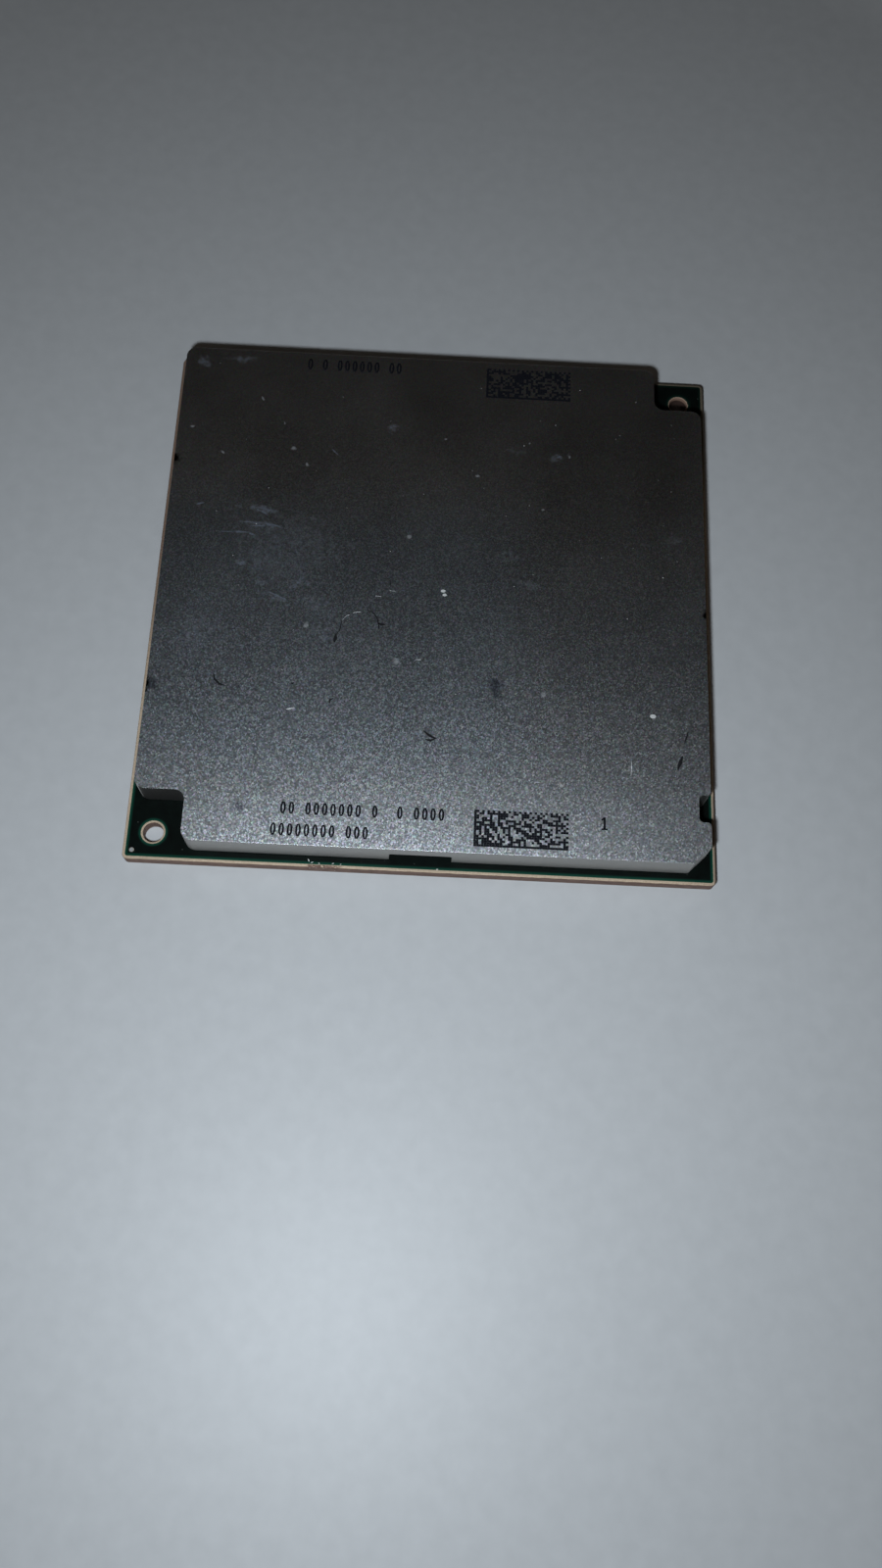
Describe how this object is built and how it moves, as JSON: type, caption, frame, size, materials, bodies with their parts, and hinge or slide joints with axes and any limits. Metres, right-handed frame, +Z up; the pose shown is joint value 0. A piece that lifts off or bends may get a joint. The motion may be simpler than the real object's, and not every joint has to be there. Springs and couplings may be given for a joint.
{
  "type": "processor module",
  "caption": "Square lidded processor module: a blasted nickel lid with notched corners over a flip-chip die on a dark green laminate with guide holes and a gold land grid underneath.",
  "frame": {"origin": "centre of the underside, in the plane of the bottom solder mask", "axes": "+Z up out of the lid's top, +X to the right with the edge notch and -Y to the front with the vent slot, so the chamfered lid corner is at +X -Y"},
  "size_m": [0.05, 0.05, 0.0044],
  "materials": {
    "laminate": "bare glass-epoxy build-up laminate, pale tan on top and copper-brown at its cut edge",
    "solder_mask": "glossy near-black green solder mask",
    "tin": "dull tin plate",
    "gold": "satin gold plate over nickel",
    "nickel": "bead-blasted nickel plate over copper, grainy on top and smooth on the sides",
    "adhesive": "matt dark silicone adhesive",
    "silicon": "polished silicon",
    "epoxy": "filled dark epoxy",
    "thermal_paste": "grey filled thermal gel",
    "capacitor_ceramic": "fired ceramic"
  },
  "bodies": {
    "root": {"laminate": "laminate", "top_solder_mask": "solder_mask", "bottom_solder_mask": "solder_mask", "fiducial_pad": "tin", "lands": "gold", "lid": "nickel", "lid_seal": "adhesive", "die": "silicon", "underfill": "epoxy", "thermal_interface": "thermal_paste", "capacitor_bodies": "capacitor_ceramic", "capacitor_terminals": "tin"}
  },
  "joints": []
}
